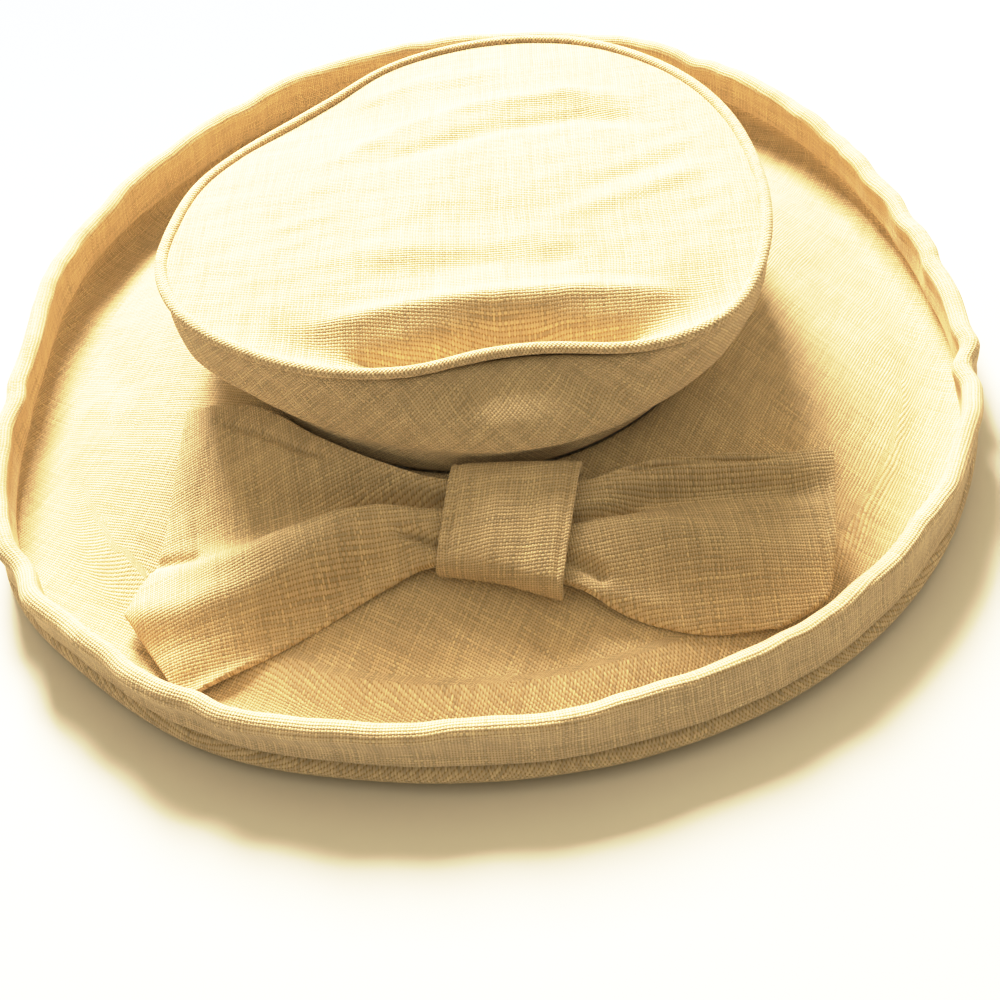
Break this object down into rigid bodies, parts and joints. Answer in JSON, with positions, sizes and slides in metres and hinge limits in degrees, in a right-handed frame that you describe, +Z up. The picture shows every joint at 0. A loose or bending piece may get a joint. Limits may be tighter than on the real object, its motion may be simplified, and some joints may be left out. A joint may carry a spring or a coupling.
{
  "type": "woven sun hat",
  "caption": "Soft woven sun hat lying on its brim: low crown with a flat seamed tip, wide brim turned up at its bound edge, and a knotted cloth bow in front.",
  "frame": {"origin": "centre of the hat's box, on the surface that the brim rests on", "axes": "+Z up out of the crown, -Y towards the bow at the front, +X to the right as seen from the front"},
  "size_m": [0.3398, 0.3704, 0.08],
  "materials": {
    "linen_brim": "plain-woven natural linen cut on the bias, matte",
    "linen_binding": "plain-woven natural linen strip folded over the brim edge, matte",
    "linen_crown": "plain-woven natural linen cut on the bias, matte",
    "linen_tip": "plain-woven natural linen, creased, matte",
    "linen_welt": "narrow folded strip of plain-woven natural linen, matte",
    "linen_bow": "doubled plain-woven natural linen with slubs, matte",
    "linen_knot": "band of plain-woven natural linen with folded edges, matte"
  },
  "bodies": {
    "root": {"brim": "linen_brim", "brim_binding": "linen_binding", "crown_side": "linen_crown", "crown_tip": "linen_tip", "tip_welt": "linen_welt", "bow": "linen_bow", "bow_knot": "linen_knot"}
  },
  "joints": []
}
